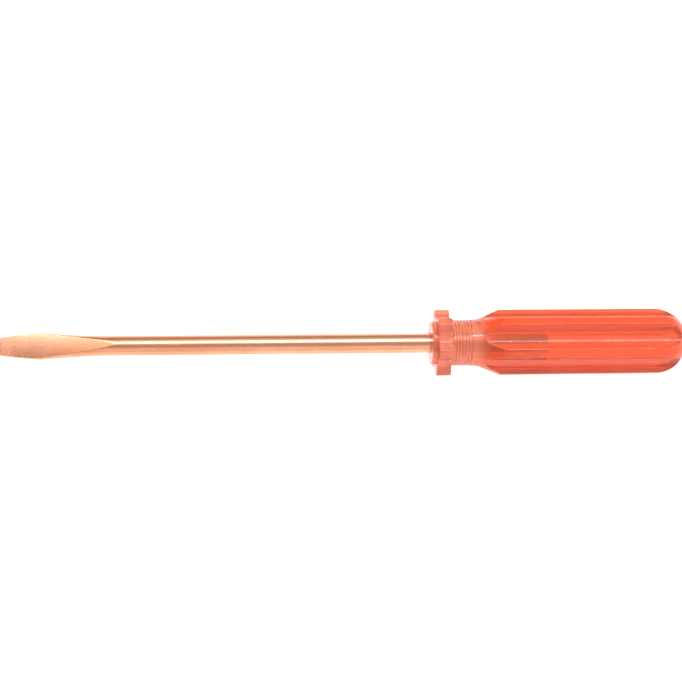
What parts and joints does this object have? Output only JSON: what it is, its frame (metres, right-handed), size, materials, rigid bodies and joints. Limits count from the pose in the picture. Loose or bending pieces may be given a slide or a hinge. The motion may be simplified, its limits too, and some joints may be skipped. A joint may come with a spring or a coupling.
{
  "type": "screwdriver",
  "caption": "Slotted screwdriver with a flared non-sparking bronze blade, a round shank and a translucent fluted handle with a turned collar and ringed neck.",
  "frame": {"origin": "centre of the end face of the blade's tip, on the tool's axis", "axes": "+X runs along the tool's axis from the tip to the domed end of the handle; +Z is the outward normal of one broad face of the tip; +Y lies across the tip's width"},
  "size_m": [0.3284, 0.0318, 0.0294],
  "materials": {
    "bronze": "warm copper-coloured bronze, drawn and linished shank, ground tip",
    "clear_orange_plastic": "translucent red-orange, polished, with fine turning marks on the neck and collar"
  },
  "bodies": {
    "root": {"blade": "bronze", "handle": "clear_orange_plastic"}
  },
  "joints": []
}
